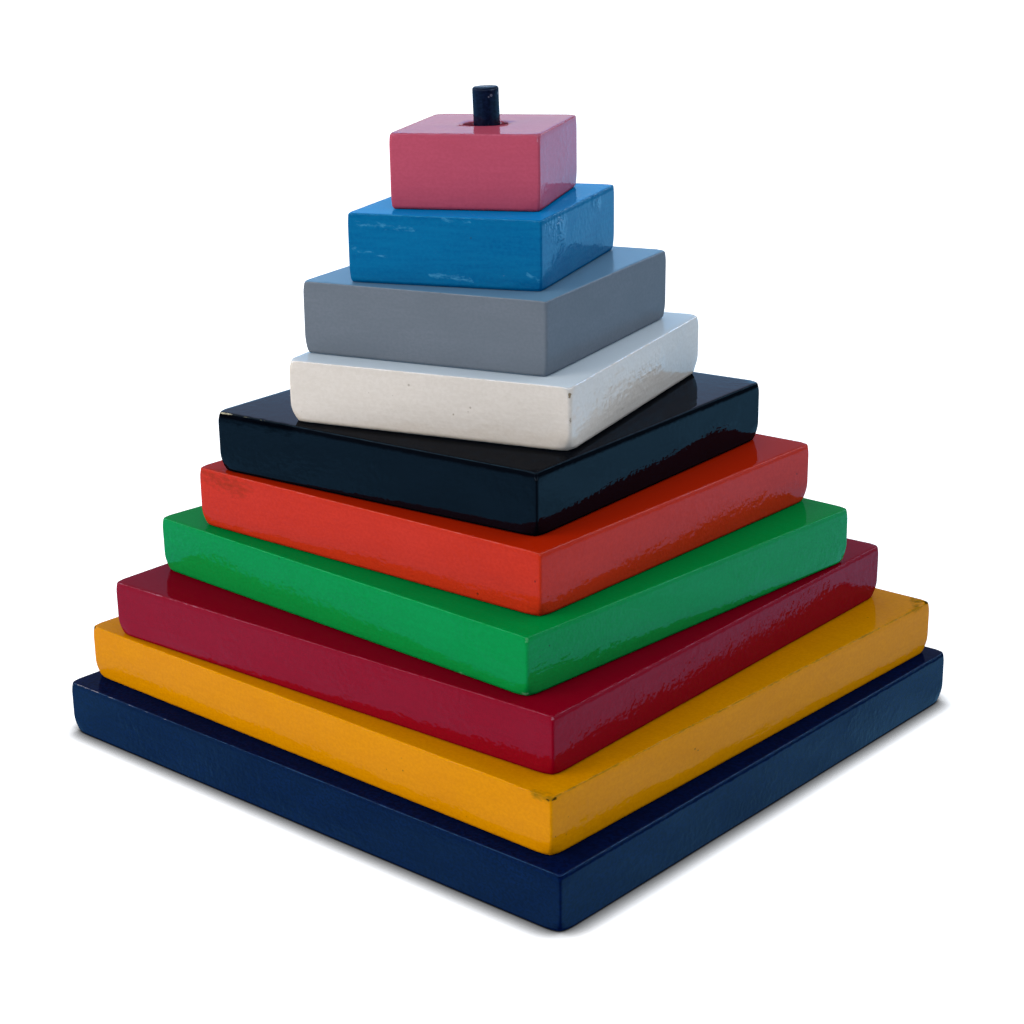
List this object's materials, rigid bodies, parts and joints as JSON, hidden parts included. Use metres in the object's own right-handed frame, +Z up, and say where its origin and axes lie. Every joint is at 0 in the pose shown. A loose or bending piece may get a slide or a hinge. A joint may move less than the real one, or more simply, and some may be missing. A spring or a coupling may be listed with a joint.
{
  "type": "stacking pyramid toy",
  "caption": "Square painted wooden boards of shrinking size, each with a central hole, stacked on a round peg fixed in a square base board; the loose boards lift off.",
  "frame": {"origin": "centre of the base board's underside, on the surface that the toy stands on", "axes": "+Z up, with the base board's long sides along X and its shorter sides along Y"},
  "size_m": [0.2056, 0.2004, 0.2029],
  "materials": {
    "navy_enamel": "gloss enamel paint",
    "dark_navy_enamel": "gloss enamel paint",
    "yellow_enamel": "gloss enamel paint",
    "crimson_enamel": "gloss enamel paint",
    "green_enamel": "gloss enamel paint",
    "orange_enamel": "gloss enamel paint",
    "black_enamel": "gloss enamel paint",
    "white_enamel": "gloss enamel paint",
    "grey_enamel": "gloss enamel paint",
    "blue_enamel": "gloss enamel paint",
    "pink_enamel": "gloss enamel paint"
  },
  "bodies": {
    "base": {"base_board": "navy_enamel", "peg": "dark_navy_enamel"},
    "yellow": {"yellow_board": "yellow_enamel"},
    "crimson": {"crimson_board": "crimson_enamel"},
    "green": {"green_board": "green_enamel"},
    "orange": {"orange_board": "orange_enamel"},
    "black": {"black_board": "black_enamel"},
    "white": {"white_board": "white_enamel"},
    "grey": {"grey_board": "grey_enamel"},
    "blue": {"blue_board": "blue_enamel"},
    "pink": {"pink_block": "pink_enamel"}
  },
  "joints": [
    {"name": "yellow_lift", "type": "slide", "parent": "base", "child": "yellow", "axis": [-0.0262, -0.0122, 0.9996], "range_m": [0, 0.191]},
    {"name": "crimson_lift", "type": "slide", "parent": "yellow", "child": "crimson", "axis": [-0.0262, -0.0122, 0.9996], "range_m": [0, 0.173]},
    {"name": "green_lift", "type": "slide", "parent": "crimson", "child": "green", "axis": [-0.0262, -0.0122, 0.9996], "range_m": [0, 0.155]},
    {"name": "orange_lift", "type": "slide", "parent": "green", "child": "orange", "axis": [-0.0262, -0.0122, 0.9996], "range_m": [0, 0.138]},
    {"name": "black_lift", "type": "slide", "parent": "orange", "child": "black", "axis": [-0.0262, -0.0122, 0.9996], "range_m": [0, 0.119]},
    {"name": "white_lift", "type": "slide", "parent": "black", "child": "white", "axis": [-0.0262, -0.0122, 0.9996], "range_m": [0, 0.1]},
    {"name": "grey_lift", "type": "slide", "parent": "white", "child": "grey", "axis": [-0.0262, -0.0122, 0.9996], "range_m": [0, 0.081]},
    {"name": "blue_lift", "type": "slide", "parent": "grey", "child": "blue", "axis": [-0.0262, -0.0122, 0.9996], "range_m": [0, 0.059]},
    {"name": "pink_lift", "type": "slide", "parent": "blue", "child": "pink", "axis": [-0.0262, -0.0122, 0.9996], "range_m": [0, 0.039]}
  ]
}
